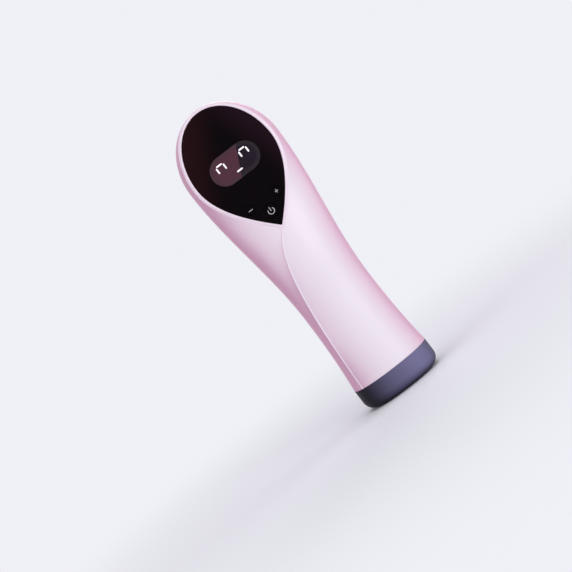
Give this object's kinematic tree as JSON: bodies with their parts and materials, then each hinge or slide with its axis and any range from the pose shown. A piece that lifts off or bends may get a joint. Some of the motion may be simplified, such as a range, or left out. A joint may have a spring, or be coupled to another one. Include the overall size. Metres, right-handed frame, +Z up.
{
  "type": "fetal doppler monitor",
  "caption": "Hand-held fetal doppler monitor with a drop-shaped tilted window, lit display, push keys, rear loudspeaker and earphone socket, standing on its dark probe cap.",
  "frame": {"origin": "middle of the flat face of the probe cap that the monitor stands on", "axes": "+Z up along the handle, -Y out of the front with the window, +X to the right of someone who faces the front"},
  "size_m": [0.0442, 0.0312, 0.14],
  "materials": {
    "pink_shell": "satin moulded plastic, pale mauve pink",
    "black_window": "polished black acrylic",
    "tinted_filter": "smoked and polished",
    "lit_bars": "lit white diffuser",
    "display_glass": "polished",
    "white_diffuser": "matt",
    "circuit_board": "solder mask",
    "black_plastic": "moulded",
    "white_nylon": "moulded",
    "amber_film": "polyimide film",
    "steel": "zinc plated",
    "grey_foam": "closed-cell foam",
    "black_paper": "pressed paper",
    "copper": "bare",
    "magnet_steel": "plated",
    "dark_mesh": "woven",
    "nickel": "nickel plated",
    "battery_wrap": "shrink wrap",
    "wire_sleeve": "silicone sleeve",
    "slate_cap": "satin moulded plastic, dark slate navy",
    "seal_rubber": "matt",
    "acoustic_lens": "smooth potting face",
    "ceramic": "silvered ceramic",
    "backing_epoxy": "filled epoxy"
  },
  "bodies": {
    "main_unit": {"acoustic_window": "acoustic_lens", "backing_block": "backing_epoxy", "battery_cell": "battery_wrap", "battery_leads": "wire_sleeve", "battery_pad": "grey_foam", "battery_tray": "black_plastic", "display_backlight": "white_diffuser", "display_board": "circuit_board", "display_board_screws": "steel", "display_filter": "tinted_filter", "display_flex": "amber_film", "display_glass": "display_glass", "display_light_bars": "lit_bars", "display_window": "black_window", "flex_connectors": "white_nylon", "front_shell": "pink_shell", "key_switches": "black_plastic", "main_board": "circuit_board", "main_board_chips": "black_plastic", "main_board_screws": "steel", "probe_housing": "slate_cap", "probe_leads": "wire_sleeve", "probe_seal": "seal_rubber", "rear_shell": "pink_shell", "socket_body": "black_plastic", "socket_contacts": "copper", "socket_ferrule": "nickel", "socket_leads": "wire_sleeve", "speaker_cone": "black_paper", "speaker_frame": "steel", "speaker_gasket": "grey_foam", "speaker_leads": "wire_sleeve", "speaker_magnet": "magnet_steel", "speaker_mesh": "dark_mesh", "speaker_voice_coil": "copper", "transducer_crystals": "ceramic"},
    "power_button": {"power_key": "black_window", "power_plunger": "white_nylon"},
    "volume_down_button": {"volume_down_key": "black_window", "volume_down_plunger": "white_nylon"},
    "volume_up_button": {"volume_up_key": "black_window", "volume_up_plunger": "white_nylon"}
  },
  "joints": [
    {"name": "power_press", "type": "slide", "parent": "main_unit", "child": "power_button", "axis": [0, 0.9848, -0.1736], "range_m": [0, 0.0004], "stiffness_N_per_m": 2500},
    {"name": "volume_down_press", "type": "slide", "parent": "main_unit", "child": "volume_down_button", "axis": [0, 0.9848, -0.1736], "range_m": [0, 0.0004], "stiffness_N_per_m": 2500},
    {"name": "volume_up_press", "type": "slide", "parent": "main_unit", "child": "volume_up_button", "axis": [0, 0.9848, -0.1736], "range_m": [0, 0.0004], "stiffness_N_per_m": 2500}
  ]
}
